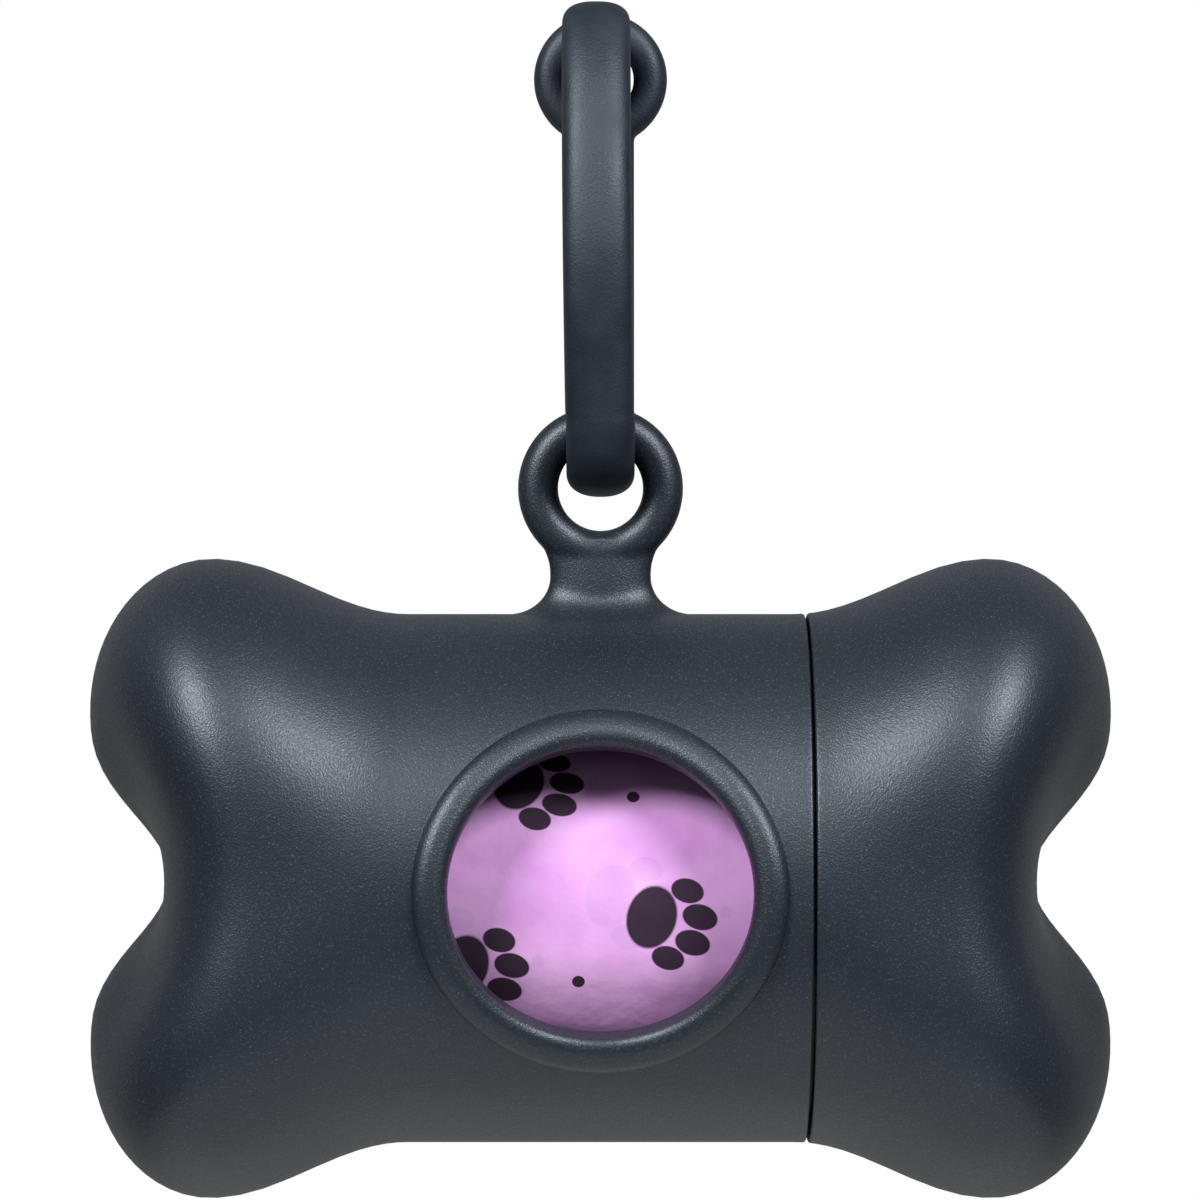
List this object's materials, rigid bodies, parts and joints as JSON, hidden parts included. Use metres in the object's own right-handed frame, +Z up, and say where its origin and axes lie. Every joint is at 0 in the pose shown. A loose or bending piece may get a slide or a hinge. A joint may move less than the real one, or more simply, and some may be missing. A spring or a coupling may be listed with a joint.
{
  "type": "pet waste bag dispenser",
  "caption": "Bone-shaped hanging dispenser for rolled pet waste bags, with a round dispensing window, a pull-off end cap, a roll of bags on a core and a silicone strap loop.",
  "frame": {"origin": "where a lead bears on the inside of the strap loop's top", "axes": "+X along the bone towards its pull-off cap, -Y out of the window towards the user, +Z up, as it hangs"},
  "size_m": [0.082, 0.0433, 0.0961],
  "materials": {
    "shell": "soft-touch matte, fine speckle",
    "sleeve": "moulded satin",
    "strap": "matte silicone",
    "card": "uncoated spiral-wound card",
    "film": "thin glossy polyethylene film"
  },
  "bodies": {
    "strap_loop": {"strap": "strap"},
    "barrel": {"body_shell": "shell", "mouth_sleeve": "sleeve"},
    "cap": {"end_cap": "shell", "cap_wall": "shell"},
    "roll": {"roll_core": "card", "bag_roll": "film", "leading_bag": "film"}
  },
  "joints": [
    {"name": "strap_swing", "type": "hinge", "parent": "strap_loop", "child": "barrel", "pos_m": [0, 0, -0.03018], "axis": [1, 0, 0], "range_deg": [-95, 95]},
    {"name": "cap_pull", "type": "slide", "parent": "barrel", "child": "cap", "axis": [1, 0, 0], "range_m": [0, 0.03]},
    {"name": "roll_spin", "type": "hinge", "parent": "barrel", "child": "roll", "pos_m": [0, 0, -0.068], "axis": [1, 0, 0], "continuous": true}
  ]
}
